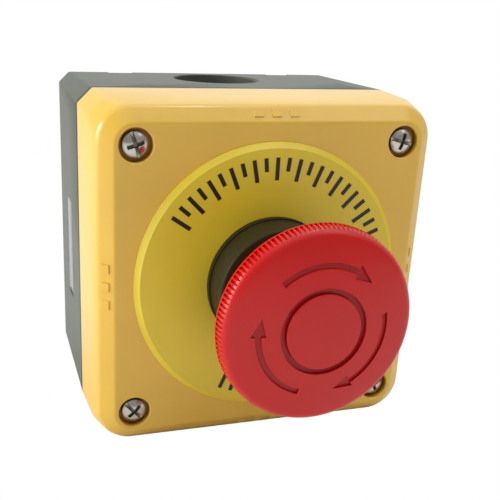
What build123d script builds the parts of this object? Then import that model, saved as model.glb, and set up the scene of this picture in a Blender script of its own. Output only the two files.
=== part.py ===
from build123d import *
import os
from math import atan, cos, degrees, radians, sin, sqrt

# Emergency stop switch in a square surface-mounting box, in millimetres.
# X is right, Z is up and the button faces -Y. The rear mounting face is the plane Y = 0 and
# the origin is its centre. A depth is a distance in front of that face, so depth 57 is Y = -57.

# Box: sizes of the two shells
box_side = 75.0                 # across the flats at the parting line
box_depth = 57.0                # rear face to front face
parting_depth = 35.0            # rear housing below, front cover above
rear_taper = 1.3                # each side draws in by this much towards the rear face
cover_taper = 0.4               # and by this much towards the front bevel
corner_leg = 3.2                # flat cut off each upright corner
housing_wall = 3.0
rear_wall = 3.0
cover_wall = 2.5
front_wall = 3.0
inner_corner_leg = 7.0          # the corners are thicker inside, around the screws
bevel_width = 3.2               # front bevel of the cover
bevel_depth = 2.5
bevel_crease_radius = 2.5        # where the bevel turns into the sides
front_edge_radius = 1.2
corner_draft = 12.0             # the round corners widen by this angle until they meet the flats
cover_upright_radius = 0.8
housing_edge_radius = 1.0
seam_chamfer = 0.35             # shadow line where the shells meet

# Three raised marks in the middle of each side of the bevel
mark_length = 2.3
mark_width = 2.0
mark_height = 0.3
mark_pitch = 3.95
mark_draft = 20.0

# Seal between the shells: a tongue on the housing, a groove and a gasket in the cover
tongue_inset = 1.8
tongue_thickness = 1.0
tongue_height = 1.6
gasket_height = 1.6
gasket_side_gap = 0.1
groove_side_gap = 0.2
rib_thickness = 1.0
rib_height = 4.4

# Cover screws and their threaded inserts
screw_inset = 8.0               # screw axis to the flat of the box
screw_shank_radius = 1.7
screw_hole_radius = 1.95
screw_length = 25.0
screw_head_radius = 2.65
screw_head_height = 2.0
screw_head_sink = 0.1           # head top below the front face
counterbore_radius = 3.5
counterbore_lip = 0.2
pillar_wall = 1.2                # of the screw pillars, round the counterbore
screw_slot_width = 0.8
screw_recess_depth = 0.9
screw_cross_span = 3.6
screw_turns = {(-1, 1): 108.0, (1, 1): -15.0, (-1, -1): -45.0, (1, -1): 30.0}
insert_radius = 2.6
insert_wall = 2.0               # of the housing's pillars, round the inserts
insert_length = 8.0
insert_below_rim = 0.5
thread_gap = 0.05
pilot_depth = 6.0

# Cable entries: open on top, a scored knock-out below
cable_radius = 10.25
cable_edge_gap = 0.25           # rear wall to the edge of the cable entry
cable_chamfer = 0.5
cable_pad_radius = 13.2
cable_pad_height = 1.5
score_width = 0.8
score_depth = 1.8

# Screw heads of every size
head_side_share = 0.6           # straight side, as a share of the head's height
head_point_depth = 0.3

# Wall fixing holes, label recess and the two notches of the rear edge
fixing_inset = 10.5             # hole axis to the side of the box
fixing_pitch_z = 38.0
fixing_hole_radius = 2.2
fixing_pad_radius = 4.6
fixing_pad_height = 1.5
label_rear_depth = 12.0
label_front_depth = 20.8
label_bottom_z = -15.6
label_top_z = 8.6
label_recess = 0.4
notch_x = 21.0
notch_width = 6.2
notch_depth = 1.6
notch_drop = 1.2

# Legend plate under the button
legend_radius = 30.0
legend_thickness = 1.5
legend_chamfer = 1.1

# Bezel: cup in front of the panel, sleeve behind it
panel_hole_radius = 11.15
sleeve_gap = 0.2                # between the sleeve and the panel hole
flange_step = 0.3               # flange beyond the collar
flange_thickness = 1.4
collar_wall = 0.8               # outside the gasket's groove
collar_height = 8.5             # legend to the collar's front edge
collar_edge_radius = 0.5
hub_side_gap = 0.8              # cup wall to the hub of the mushroom
cup_floor = 1.0                 # cup floor in front of the legend
bulkhead_thickness = 3.5
sleeve_wall = 2.35
sleeve_lip = 0.6                # sleeve behind the retaining ring
key_width = 3.0
key_rise = 1.25
key_gap = 0.1
key_start = 0.5                  # key starts in front of the panel's rear face
bezel_gasket_width = 1.4
bezel_gasket_height = 1.0
bezel_gasket_gap = 0.95         # sleeve to the gasket
nut_thickness = 4.6
nut_radius = 15.0
nut_notches = 6
nut_notch_width = 4.0
nut_notch_depth = 1.4

# Button travel
press_travel = 5.5
rest_gap = 0.2
bulkhead_gap = 0.6               # between the actuator and the bulkhead at rest
end_play = 0.05

# Mushroom button
button_radius = 20.0
button_lip_thickness = 0.45
rim_height = 1.9                # back edge of the rim to where it rolls into the dome
rim_draft = 0.1                 # the rim draws in by this much on the way
rim_roll = 1.52                 # width of the roll from the rim into the dome
rim_roll_drop = 1.54            # and its height
dome_rise = 2.66
dome_wall = 2.2
rim_wall = 1.8
rim_ribs = 128
rim_rib_depth = 0.58
rim_rib_clear = 0.15             # crest of the ribs outside the rim's back edge
rib_start = 0.4                  # under-ribs start in front of the rim's back edge
under_ribs = 8
under_rib_width = 1.2
hub_radius = 9.8
hub_length = 16.5               # behind the rim's back edge
hub_wall = 1.6
hub_rear_gap = 0.5              # hub to cup floor when fully pressed
stem_boss_wall = 2.0
cap_radius = 7.65
cap_groove_width = 1.2
cap_groove_depth = 0.9
cap_seat_gap = 0.05
cap_depth = 3.9
cap_recess_gap = 0.8             # hollow behind the cap, over the screw's head
cap_recess_depth = 1.2
arrow_radius = 13.05
arrow_width = 1.2
arrow_head_width = 3.0
arrow_tail_angle = 131.7
arrow_base_angle = 61.2
arrow_tip_angle = 44.3
arrow_sink = 0.45
arrow_count = 3

# Stem, actuator and latch
stem_radius = 5.0
stem_flat_cut = 0.7             # depth of the two flats in the hub
stem_flat_length = 10.0
stem_bore_gap = 0.35
stem_fit_gap = 0.05
stem_step = 0.7                 # the stem steps down twice towards its rear end
stem_tail_gap = 0.08
stem_end_gap = 0.6              # stem to the pusher's boss
stem_waist_cut = 0.4            # waist of the tail, where the latch pins reach in
stem_cam_gap = 0.2               # between a latch pin and the sides of the waist
stem_screw_radius = 1.95
stem_screw_length = 13.0
stem_screw_web = 2.0             # of the button, between the stem and the screw's head
stem_hole_extra = 1.0            # the threaded hole is this much longer than the screw
stem_screw_head_gap = 0.4
stem_screw_hole_gap = 0.15
stem_screw_head_radius = 3.5
stem_screw_head_height = 1.8
seal_thickness = 1.7
seal_width = 2.05
seal_lip_gap = 0.1               # between the seal and its seat in the bulkhead
seal_sink = 0.2
actuator_gap = 0.25             # between the actuator and the sleeve
actuator_length = 7.1           # without its nose
nose_wall = 0.9
clip_pocket_gap = 0.3
clip_pocket_length = 4.8
clip_step = 0.8                 # clip beyond the stem's tail
clip_thickness = 0.6
clip_gap = 0.1
clip_groove_depth = 0.65
clip_mouth = 3.2
spring_pocket_step = 1.3        # pocket of the twist spring beyond the stem
spring_pocket_depth = 3.8
pusher_radius = 9.4
pusher_thickness = 3.0
pusher_boss_length = 1.8
pusher_boss_gap = 0.05
pusher_chamfer = 0.4
latch_pin_radius = 1.15
latch_pin_gap = 0.05
latch_pin_inner_gap = 0.1       # pin to the stem's waist
latch_pin_outer_gap = 0.5       # pin to the sleeve, with the button out
latch_pin_inset = 1.6           # pin axis to the actuator's rear face
latch_groove_extra = 1.0
latch_groove_side_gap = 0.25
latch_pin_chamfer = 0.3
guide_key_width = 2.0
guide_key_rise = 0.85
guide_key_gap = 0.15
guide_key_inset = 0.3
ring_thickness = 2.0
ring_gap = 0.3
ring_bead = 0.5
ring_bead_length = 1.0
ring_seat_gap = 0.1
return_wire_radius = 0.45
return_spring_length = 10.3
return_turns = 4.0
spring_gap = 0.02                # between the end of a spring and its seat
twist_wire_radius = 0.35
twist_turns = 3.6

# Contact blocks, screwed to pedestals on the rear wall; the normally closed one is on the left
block_half_gap = 0.3
block_width = 10.0
block_height = 40.0
pedestal_height = 3.0
block_clearance = 1.0           # block to the pusher when fully pressed
block_wall = 1.2
block_cover_thickness = 1.0
lug_length = 6.4
lug_thickness = 2.6
lug_inset = 1.0
lug_screw_reach = 3.4           # end of the block to the screw's axis
block_screw_radius = 1.45
block_screw_head_radius = 2.75
block_screw_head_height = 1.8
block_screw_hole_radius = 1.6
block_screw_length = 6.6
block_screw_recess = 0.8
block_screw_cross = 3.2
pedestal_radius = 3.4
pilot_gap = 0.05
pilot_extra = 0.4                # the pilot hole is this much longer than the screw
plunger_side = 5.0
plunger_gap = 0.1
plunger_end_gap = 1.3           # plunger to the block's floor when fully pressed
plunger_slot_width = 3.5
plunger_pocket_radius = 1.9
plunger_pocket_depth = 5.0
plunger_chamfer = 0.4
bridge_play = 0.8                # slot in the plunger in front of the bridge
contact_wire_radius = 0.2
contact_coil_radius = 1.5
contact_turns = 7.0
bridge_width = 3.2
bridge_length = 12.4
bridge_thickness = 0.6
tip_radius = 1.1
tip_height = 0.4
tip_z = 5.1
contact_gap = 0.05
open_bridge_step = 0.6           # rear of the open pair's bridge behind the strips
open_contact_play = 0.1          # left between the open pair's tips when fully pressed
strip_width = 6.0
strip_thickness = 0.8
strip_drop = 3.6                # rear face of the terminal strips behind the block's front
strip_inner_z = 3.4
strip_outer_z = 17.8
riser_z = 7.9
partition_z = 9.2
partition_thickness = 1.0
strip_slot_gap = 0.05
terminal_z = 14.0
terminal_screw_radius = 1.7
terminal_screw_length = 7.2
terminal_head_radius = 3.2
terminal_head_height = 2.0
terminal_hole_radius = 3.5
clamp_side = 7.0
clamp_thickness = 1.4
clamp_drop = 2.1
wire_window_width = 6.4
wire_window_height = 3.2

# Places worked out from the sizes above
half = box_side / 2
rear_half = half - rear_taper
bevel_start = box_depth - bevel_depth
front_half = half - cover_taper
screw_pitch = box_side - 2 * screw_inset
screw_seat = box_depth - screw_head_sink - screw_head_height
cable_depth = rear_wall + cable_edge_gap + cable_radius
fixing_pitch_x = box_side - 2 * fixing_inset

legend_front = box_depth + legend_thickness
sleeve_radius = panel_hole_radius - sleeve_gap
sleeve_bore = sleeve_radius - sleeve_wall
bezel_gasket_inner = sleeve_radius + bezel_gasket_gap
collar_radius = bezel_gasket_inner + bezel_gasket_width + collar_wall
flange_radius = collar_radius + flange_step
collar_front = legend_front + collar_height
cup_radius = hub_radius + hub_side_gap
cup_depth = legend_front + cup_floor
bulkhead_rear = cup_depth - bulkhead_thickness
seal_seat_depth = cup_depth - seal_thickness - seal_sink

hub_rear = cup_depth + hub_rear_gap + press_travel
button_rim_depth = hub_rear + hub_length
button_rim_top_depth = button_rim_depth + rim_height
button_rim_top_radius = button_radius - rim_draft
button_apex_depth = button_rim_top_depth + rim_roll_drop + dome_rise
dome_radius = (button_rim_top_radius ** 2 + dome_rise ** 2) / (2 * dome_rise)
stem_screw_seat = button_apex_depth - cap_depth - stem_screw_head_gap - stem_screw_head_height
stem_front_depth = stem_screw_seat - stem_screw_web
stem_flat = stem_radius - stem_flat_cut
stem_middle_radius = stem_radius - stem_step
stem_tail_radius = stem_middle_radius - stem_step
stem_waist_radius = stem_tail_radius - stem_waist_cut
stem_boss_radius = stem_radius + stem_boss_wall

actuator_radius = sleeve_bore - actuator_gap
actuator_front = bulkhead_rear - bulkhead_gap
actuator_rear_depth = actuator_front - actuator_length
pocket_floor = actuator_front - spring_pocket_depth
spring_pocket_radius = stem_radius + spring_pocket_step
latch_pin_depth = actuator_rear_depth + latch_pin_inset
ring_rear_depth = actuator_rear_depth - return_spring_length - ring_thickness
bead_rear = ring_rear_depth + (ring_thickness - ring_bead_length) / 2
bead_front = bead_rear + ring_bead_length
sleeve_rear_depth = ring_rear_depth - sleeve_lip
nose_end_depth = sleeve_rear_depth - rest_gap
clip_shoulder = nose_end_depth + clip_pocket_length
clip_front = clip_shoulder - clip_gap
clip_inner = stem_tail_radius - clip_groove_depth
clip_radius = stem_tail_radius + clip_step
clip_pocket_radius = clip_radius + clip_pocket_gap
actuator_nose_radius = clip_pocket_radius + nose_wall
stem_end_depth = nose_end_depth + pusher_boss_length + stem_end_gap

pusher_rear = nose_end_depth - pusher_thickness
plunger_top = pusher_rear - rest_gap
block_rear_depth = rear_wall + pedestal_height
block_front_depth = plunger_top - press_travel - block_clearance
block_screw_z = block_height / 2 + lug_screw_reach
plunger_x = block_half_gap + block_width / 2
plunger_rear_depth = block_rear_depth + block_wall + press_travel + plunger_end_gap
strip_level = block_front_depth - strip_drop


def front_plane(depth):
    """Plane parallel to the rear face: x right, y up, extruding to the front."""
    return Plane.XZ.offset(depth)


def block_of(x0, x1, depth0, depth1, z0, z1):
    """Box between two X, two depth and two Z values, in any order."""
    middle = Pos((x0 + x1) / 2, -(depth0 + depth1) / 2, (z0 + z1) / 2)
    return middle * Box(abs(x1 - x0), abs(depth1 - depth0), abs(z1 - z0))


def rod(radius, depth0, depth1, x=0.0, z=0.0):
    """Cylinder along the button axis, or beside it, between two depths."""
    return extrude(front_plane(depth0) * Pos(x, z) * Circle(radius), amount=depth1 - depth0)


def tube(outer, inner, depth0, depth1, x=0.0, z=0.0):
    """Ring between two depths."""
    return rod(outer, depth0, depth1, x, z) - rod(inner, depth0 - 1, depth1 + 1, x, z)


def turned(points):
    """Solid turned about the button axis from a closed outline of (radius, depth) points."""
    outline = Polyline([(radius, -depth) for radius, depth in points], close=True)
    return revolve(make_face(outline), axis=Axis.Y)


def coil(mean_radius, wire_radius, depth0, depth1, turns, x=0.0, z=0.0):
    """Helical spring whose wire fills the room between two depths."""
    height = depth1 - depth0 - 2 * wire_radius
    path = Helix(pitch=height / turns, height=height, radius=mean_radius)
    section = Plane(origin=path @ 0, z_dir=path % 0) * Circle(wire_radius)
    spring = sweep(section, path=path, is_frenet=True)
    return front_plane(depth0 + wire_radius) * Pos(x, z) * spring


def box_outline(half_side, inset):
    """Square with its corners cut off, drawn in from the outer wall by an even inset."""
    leg = corner_leg - (2 - sqrt(2)) * inset
    side = 2 * (half_side - inset)
    return chamfer(Rectangle(side, side).vertices(), leg)


def cavity_outline(half_side, inset):
    """Inner outline, with thicker corners for the screws."""
    side = 2 * (half_side - inset)
    return chamfer(Rectangle(side, side).vertices(), inner_corner_leg)


def tapered(outline, depth0, depth1, draw_in):
    """Extrude an outline from one depth to another, drawing in evenly on the way."""
    length = depth1 - depth0
    return extrude(front_plane(depth0) * outline, amount=length, taper=degrees(atan(draw_in / abs(length))))


def corners(pitch):
    """The four corners of a square pattern, as signs and places."""
    return [((sx, sz), sx * pitch / 2, sz * pitch / 2) for sx in (-1, 1) for sz in (-1, 1)]


def drive_head(radius, height, seat_depth, turn, slot_width, recess_depth, cross_span):
    """Domed screw head with a straight slot across a shorter cross recess."""
    shoulder = seat_depth + head_side_share * height
    top = seat_depth + height
    crown_radius = (radius ** 2 + (top - shoulder) ** 2) / (2 * (top - shoulder))
    bend = radius / 2
    bend_depth = top - crown_radius + sqrt(crown_radius ** 2 - bend ** 2)
    edge = Polyline((0, -top), (0, -seat_depth), (radius, -seat_depth), (radius, -shoulder))
    crown = ThreePointArc((radius, -shoulder), (bend, -bend_depth), (0, -top))
    head = revolve(make_face([edge, crown]), axis=Axis.Y)
    plane = front_plane(top - recess_depth) * Rot(0, 0, turn)
    slot = extrude(plane * Rectangle(3 * radius, slot_width), amount=height)
    cross = extrude(plane * Rectangle(slot_width, cross_span), amount=height)
    deep = extrude(plane * Circle(slot_width), amount=-head_point_depth)
    return head - slot - cross - deep


def side_bevel_plane(turn):
    """Plane of the cover's front bevel on one side, with its origin in the middle."""
    outward = Vector(cos(radians(turn)), 0, sin(radians(turn)))
    along = Vector(-sin(radians(turn)), 0, cos(radians(turn)))
    front_point = outward * (front_half - bevel_width) + Vector(0, -box_depth, 0)
    side_point = outward * front_half + Vector(0, -bevel_start, 0)
    normal = outward * bevel_depth + Vector(0, -bevel_width, 0)
    return Plane(origin=(front_point + side_point) * 0.5, x_dir=along, z_dir=normal)


def cover_nose():
    """Bevel round a square front whose corners run round the screws; behind it the form widens."""
    outline = RectangleRounded(2 * front_half, 2 * front_half, screw_inset - cover_taper)
    nose = tapered(outline, bevel_start, box_depth, bevel_width)
    nose += extrude(front_plane(bevel_start) * outline, amount=parting_depth - bevel_start, taper=-corner_draft)
    crease = nose.edges().filter_by_position(Axis.Y, -bevel_start - 0.01, -bevel_start + 0.01)
    nose = fillet(crease, bevel_crease_radius)
    return fillet(nose.faces().sort_by(Axis.Y)[0].edges(), front_edge_radius)


# The two shells and what joins them

def make_front_cover():
    draw_in = cover_taper * (box_depth - parting_depth) / (bevel_start - parting_depth)
    cover = tapered(box_outline(half, 0), parting_depth, box_depth, draw_in)
    uprights = cover.edges().filter_by_position(Axis.Y, -box_depth + 1, -parting_depth - 1)
    cover = fillet(uprights, cover_upright_radius) & cover_nose()
    for quarter in range(4):
        plane = side_bevel_plane(90 * quarter)
        for place in (-1, 0, 1):
            foot = plane * Pos(place * mark_pitch, 0, -mark_height) * Rectangle(mark_length, mark_width)
            cover += extrude(foot, amount=2 * mark_height, taper=mark_draft)
    rib_foot = tongue_inset + tongue_thickness + groove_side_gap
    inner = rib_foot + rib_thickness
    rib_top = parting_depth + rib_height
    cover -= extrude(front_plane(parting_depth) * cavity_outline(half, inner), amount=rib_height)
    cover -= extrude(front_plane(rib_top) * cavity_outline(front_half, cover_wall),
                     amount=box_depth - front_wall - rib_top)
    for _, x, z in corners(screw_pitch):
        cover += rod(counterbore_radius + pillar_wall, parting_depth, box_depth - front_wall, x, z)
    groove = box_outline(half, tongue_inset - groove_side_gap) - box_outline(half, rib_foot)
    cover -= extrude(front_plane(parting_depth) * groove, amount=tongue_height + gasket_height)
    for _, x, z in corners(screw_pitch):
        cover -= rod(screw_hole_radius, parting_depth - 1, box_depth + 1, x, z)
        cover -= rod(counterbore_radius, screw_seat, box_depth + 1, x, z)
        mouth = front_plane(box_depth - counterbore_lip) * Pos(x, z) * Circle(counterbore_radius)
        cover -= extrude(mouth, amount=counterbore_lip, taper=-45)
    cover -= rod(panel_hole_radius, bevel_start - front_wall - 1, box_depth + 1)
    cover -= key_shape(key_gap, box_depth - front_wall - 1, box_depth + 1)
    return cover


def make_rear_housing():
    housing = tapered(box_outline(half, 0), parting_depth, 0, rear_taper)
    uprights = housing.edges().filter_by_position(Axis.Y, -parting_depth + 1, -1)
    housing = fillet(uprights, housing_edge_radius)
    rim = housing.faces().sort_by(Axis.Y)[0].edges()
    housing = chamfer(rim, seam_chamfer)
    housing -= tapered(cavity_outline(half, housing_wall), parting_depth, rear_wall, rear_taper)
    tongue = box_outline(half, tongue_inset) - box_outline(half, tongue_inset + tongue_thickness)
    housing += extrude(front_plane(parting_depth) * tongue, amount=tongue_height)
    for _, x, z in corners(screw_pitch):
        housing += rod(insert_radius + insert_wall, rear_wall - 1, parting_depth, x, z)
    for _, x, z in corners(screw_pitch):
        floor = parting_depth - insert_below_rim - insert_length
        housing -= rod(insert_radius + thread_gap, floor, parting_depth + 1, x, z)
        housing -= rod(screw_hole_radius, floor - pilot_depth, floor + 1, x, z)
    for sx in (-1, 1):
        for sz in (-1, 1):
            x, z = sx * plunger_x, sz * block_screw_z
            housing += rod(pedestal_radius, rear_wall - 1, block_rear_depth, x, z)
            housing -= rod(block_screw_radius + pilot_gap,
                           block_rear_depth + lug_thickness - block_screw_length - pilot_extra,
                           block_rear_depth + 1, x, z)
            x, z = sx * fixing_pitch_x / 2, sz * fixing_pitch_z / 2
            housing += rod(fixing_pad_radius, rear_wall - 1, rear_wall + fixing_pad_height, x, z)
            housing -= rod(fixing_hole_radius, -1, box_depth, x, z)
    return housing_openings(housing)


def housing_openings(housing):
    """Cable entry on top, scored knock-out below, label recess and rear notches."""
    inside = half - housing_wall
    entry = Pos(0, -cable_depth, inside - cable_pad_height)
    pad = entry * Cylinder(cable_pad_radius, cable_pad_height + 1,
                           align=(Align.CENTER, Align.CENTER, Align.MIN))
    housing += pad
    housing -= entry * Cylinder(cable_radius, box_side, align=(Align.CENTER, Align.CENTER, Align.CENTER))
    outer = rear_half + rear_taper * cable_depth / parting_depth
    housing -= Pos(0, -cable_depth, outer - cable_chamfer) * Cone(
        cable_radius, cable_radius + 2 * cable_chamfer, 2 * cable_chamfer,
        align=(Align.CENTER, Align.CENTER, Align.MIN))
    ring = Cylinder(cable_radius, score_depth) - Cylinder(cable_radius - score_width, score_depth)
    housing -= Pos(0, -cable_depth, -outer) * ring
    label_wall = rear_half + rear_taper * label_rear_depth / parting_depth
    housing -= block_of(-half - 1, -label_wall + label_recess,
                        label_rear_depth, label_front_depth, label_bottom_z, label_top_z)
    for side in (-1, 1):
        x = side * notch_x
        housing -= block_of(x - notch_width / 2, x + notch_width / 2, -1, notch_depth,
                            rear_half - notch_drop, half + 1)
    return housing


def make_cover_gasket():
    strip = (box_outline(half, tongue_inset - gasket_side_gap)
             - box_outline(half, tongue_inset + tongue_thickness + gasket_side_gap))
    return extrude(front_plane(parting_depth + tongue_height) * strip, amount=gasket_height)


def make_cover_screws():
    screws = []
    for signs, x, z in corners(screw_pitch):
        head = drive_head(screw_head_radius, screw_head_height, screw_seat, screw_turns[signs],
                          screw_slot_width, screw_recess_depth, screw_cross_span)
        shank = rod(screw_shank_radius, screw_seat - screw_length, screw_seat)
        screws.append(Pos(x, 0, z) * (head + shank))
    return screws


def make_threaded_inserts():
    top = parting_depth - insert_below_rim
    inserts = []
    for _, x, z in corners(screw_pitch):
        inserts.append(tube(insert_radius, screw_shank_radius + thread_gap, top - insert_length, top, x, z))
    return inserts


# The button head, fixed in the hole of the cover

def key_shape(gap, depth0, depth1):
    """Locating key on top of the sleeve, or its notch with a gap."""
    width = key_width / 2 + gap
    return block_of(-width, width, depth0, depth1, sleeve_radius - 1, sleeve_radius + key_rise + gap)


def make_legend_plate():
    front = legend_front
    plate = turned([(panel_hole_radius, box_depth), (legend_radius, box_depth),
                    (legend_radius, front - legend_chamfer), (legend_radius - legend_chamfer, front),
                    (panel_hole_radius, front)])
    return plate - key_shape(key_gap, box_depth - 1, front + 1)


def make_bezel():
    flange_front = legend_front + flange_thickness
    seal_seat_radius = stem_radius + seal_width + seal_lip_gap
    bezel = turned([
        (stem_radius + stem_bore_gap, bulkhead_rear), (sleeve_bore, bulkhead_rear),
        (sleeve_bore, sleeve_rear_depth), (sleeve_radius, sleeve_rear_depth),
        (sleeve_radius, legend_front), (flange_radius, legend_front),
        (flange_radius, flange_front), (collar_radius, flange_front),
        (collar_radius, collar_front), (cup_radius, collar_front),
        (cup_radius, cup_depth), (seal_seat_radius, cup_depth), (seal_seat_radius, seal_seat_depth),
        (stem_radius + stem_bore_gap, seal_seat_depth)])
    rims = bezel.edges().filter_by_position(Axis.Y, -collar_front - 0.01, -collar_front + 0.01)
    bezel = fillet(rims, collar_edge_radius)
    bezel += key_shape(0, box_depth - front_wall + key_start, legend_front)
    groove_inner = bezel_gasket_inner - gasket_side_gap
    groove_outer = bezel_gasket_inner + bezel_gasket_width + gasket_side_gap
    bezel -= tube(groove_outer, groove_inner, legend_front - 1, legend_front + bezel_gasket_height)
    pressed = latch_pin_depth - press_travel
    groove_half = latch_pin_radius + latch_groove_side_gap
    bezel -= rod(sleeve_bore + latch_groove_extra, pressed - groove_half, pressed + groove_half)
    bezel -= rod(sleeve_bore + ring_bead, bead_rear - ring_seat_gap, bead_front + ring_seat_gap)
    slot_half = guide_key_width / 2 + guide_key_gap
    slot_reach = actuator_radius + guide_key_rise + actuator_gap
    slot = block_of(-slot_reach, slot_reach, sleeve_rear_depth - 1, bulkhead_rear, -slot_half, slot_half)
    return bezel - slot


def make_bezel_gasket():
    return tube(bezel_gasket_inner + bezel_gasket_width, bezel_gasket_inner,
                legend_front, legend_front + bezel_gasket_height)


def make_fixing_nut():
    front = box_depth - front_wall
    nut = tube(nut_radius, sleeve_radius + thread_gap, front - nut_thickness, front)
    for turn in range(nut_notches):
        notch = block_of(nut_radius - nut_notch_depth, nut_radius + 1,
                         front - nut_thickness - 1, front - 1, -nut_notch_width / 2, nut_notch_width / 2)
        nut -= Rot(0, 360 / nut_notches * turn, 0) * notch
    return nut


def make_stem_seal():
    return tube(stem_radius + seal_width, stem_radius + stem_fit_gap,
                seal_seat_depth, seal_seat_depth + seal_thickness)


def make_retaining_ring():
    bore = actuator_nose_radius + ring_gap
    ring = tube(sleeve_bore - ring_seat_gap, bore, ring_rear_depth, ring_rear_depth + ring_thickness)
    return ring + tube(sleeve_bore + ring_bead - ring_seat_gap, bore, bead_rear, bead_front)


# The mushroom button and its stem

def dome_depth(radius, sink=0.0):
    """Depth of the dome's surface at a radius, or of a surface sunk below it."""
    centre = button_apex_depth - dome_radius
    return centre + sqrt((dome_radius - sink) ** 2 - radius ** 2)


def dome_body(outer_radius, sink, rear):
    """Everything behind the dome's surface, out to a radius and back to a depth."""
    edge_depth = dome_depth(outer_radius, sink)
    middle = outer_radius / 2
    arc = ThreePointArc((outer_radius, -edge_depth), (middle, -dome_depth(middle, sink)),
                        (0, -dome_depth(0, sink)))
    sides = Polyline((0, -dome_depth(0, sink)), (0, -rear), (outer_radius, -rear), (outer_radius, -edge_depth))
    return revolve(make_face([arc, sides]), axis=Axis.Y)


def arrow_face(depth):
    """One curved arrow that turns clockwise as seen from the front."""
    inner, outer = arrow_radius - arrow_width / 2, arrow_radius + arrow_width / 2
    head_inner, head_outer = arrow_radius - arrow_head_width / 2, arrow_radius + arrow_head_width / 2

    def at(radius, turn):
        return (radius * cos(radians(turn)), radius * sin(radians(turn)))

    middle = (arrow_tail_angle + arrow_base_angle) / 2
    body_outer = ThreePointArc(at(outer, arrow_tail_angle), at(outer, middle), at(outer, arrow_base_angle))
    body_inner = ThreePointArc(at(inner, arrow_base_angle), at(inner, middle), at(inner, arrow_tail_angle))
    head = Polyline(at(outer, arrow_base_angle), at(head_outer, arrow_base_angle),
                    at(arrow_radius, arrow_tip_angle), at(head_inner, arrow_base_angle),
                    at(inner, arrow_base_angle))
    tail = Line(at(inner, arrow_tail_angle), at(outer, arrow_tail_angle))
    return front_plane(depth) * make_face([body_outer, head, body_inner, tail])


def rim_and_dome():
    """Outside of the mushroom: a tapered rim with a back lip, rolled over into the dome."""
    roll_radius = button_rim_top_radius - rim_roll
    roll_end = Vector(roll_radius, -dome_depth(roll_radius))
    roll_start = Vector(button_rim_top_radius, -button_rim_top_depth)
    square_corner = Vector(button_rim_top_radius, -dome_depth(button_rim_top_radius))
    chord_middle = (roll_start + roll_end) * 0.5
    roll_middle = chord_middle + (square_corner - chord_middle) * (sqrt(2) - 1)
    crown_middle = Vector(roll_radius / 2, -dome_depth(roll_radius / 2))
    apex = (0, -button_apex_depth)
    lip_front = button_rim_depth + button_lip_thickness
    sides = Polyline(apex, (0, -button_rim_depth), (button_radius, -button_rim_depth),
                     (button_radius, -lip_front), (button_rim_top_radius, -button_rim_top_depth))
    roll = ThreePointArc(roll_start, roll_middle, roll_end)
    crown = ThreePointArc(roll_end, crown_middle, apex)
    return revolve(make_face([sides, roll, crown]), axis=Axis.Y)


def make_mushroom_button():
    button = rim_and_dome()
    hollow = dome_body(button_radius - rim_wall, dome_wall, button_rim_depth - 1)
    button -= hollow - rod(hub_radius, button_rim_depth - 2, button_apex_depth)
    root = dome_wall / 10
    ceiling = dome_body(button_radius - rim_wall + root, dome_wall - root, button_rim_depth + rib_start)
    for turn in range(under_ribs):
        rib = block_of(hub_radius - 0.5, button_radius, button_rim_depth, button_apex_depth,
                       -under_rib_width / 2, under_rib_width / 2)
        button += (Rot(0, 360 / under_ribs * turn, 0) * rib) & ceiling
    button += make_hub()
    button -= rod(cap_radius + cap_groove_width, dome_depth(cap_radius) - cap_groove_depth, button_apex_depth + 1)
    button -= rod(cap_radius + cap_seat_gap, button_apex_depth - cap_depth, button_apex_depth + 1)
    button -= rod(stem_screw_head_radius + stem_screw_head_gap, stem_screw_seat, button_apex_depth)
    button -= rod(stem_screw_radius + stem_screw_hole_gap, stem_front_depth - 1, button_apex_depth)
    sunk = dome_body(button_radius, arrow_sink, button_rim_depth)
    for turn in range(arrow_count):
        arrow = extrude(arrow_face(button_rim_top_depth), amount=button_apex_depth - button_rim_top_depth + 1)
        button -= (Rot(0, 360 / arrow_count * turn, 0) * arrow) - sunk
    return button - rim_rib_cutter()


def make_hub():
    """Hub under the dome: an outer wall that runs in the cup and a boss for the stem."""
    top = dome_depth(hub_radius) - dome_wall / 2
    floor = stem_front_depth - 1
    hub = rod(hub_radius, hub_rear, top)
    hub -= tube(hub_radius - hub_wall, stem_boss_radius, hub_rear - 1, floor)
    bore = rod(stem_radius + stem_fit_gap, hub_rear - 1, stem_front_depth)
    flats_from = stem_front_depth - stem_flat_length
    keep = stem_flat + stem_fit_gap
    for side in (-1, 1):
        bore -= block_of(-stem_radius - 1, stem_radius + 1, flats_from, stem_front_depth + 1,
                         side * keep, side * (stem_radius + 1))
    return hub - bore


def rim_rib_cutter():
    """Ring of V-shaped notches that leaves the ribs standing around the rim."""
    step = 360 / rim_ribs
    crest = button_radius + rim_rib_clear
    valley = button_radius - rim_rib_depth
    points = []
    for turn in range(rim_ribs):
        for radius, share in ((crest, 0.0), (valley, 0.5)):
            angle = radians(step * (turn + share))
            points.append((radius * cos(angle), radius * sin(angle)))
    star = make_face(Polyline(points, close=True))
    from_depth = button_rim_depth + button_lip_thickness
    ring = Circle(button_radius + 1) - star
    return extrude(front_plane(from_depth) * ring, amount=button_apex_depth - from_depth)


def make_centre_cap():
    rear = button_apex_depth - cap_depth
    cap = dome_body(cap_radius, 0, rear)
    return cap - rod(stem_screw_head_radius + cap_recess_gap, rear - 1, rear + cap_recess_depth)


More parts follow.
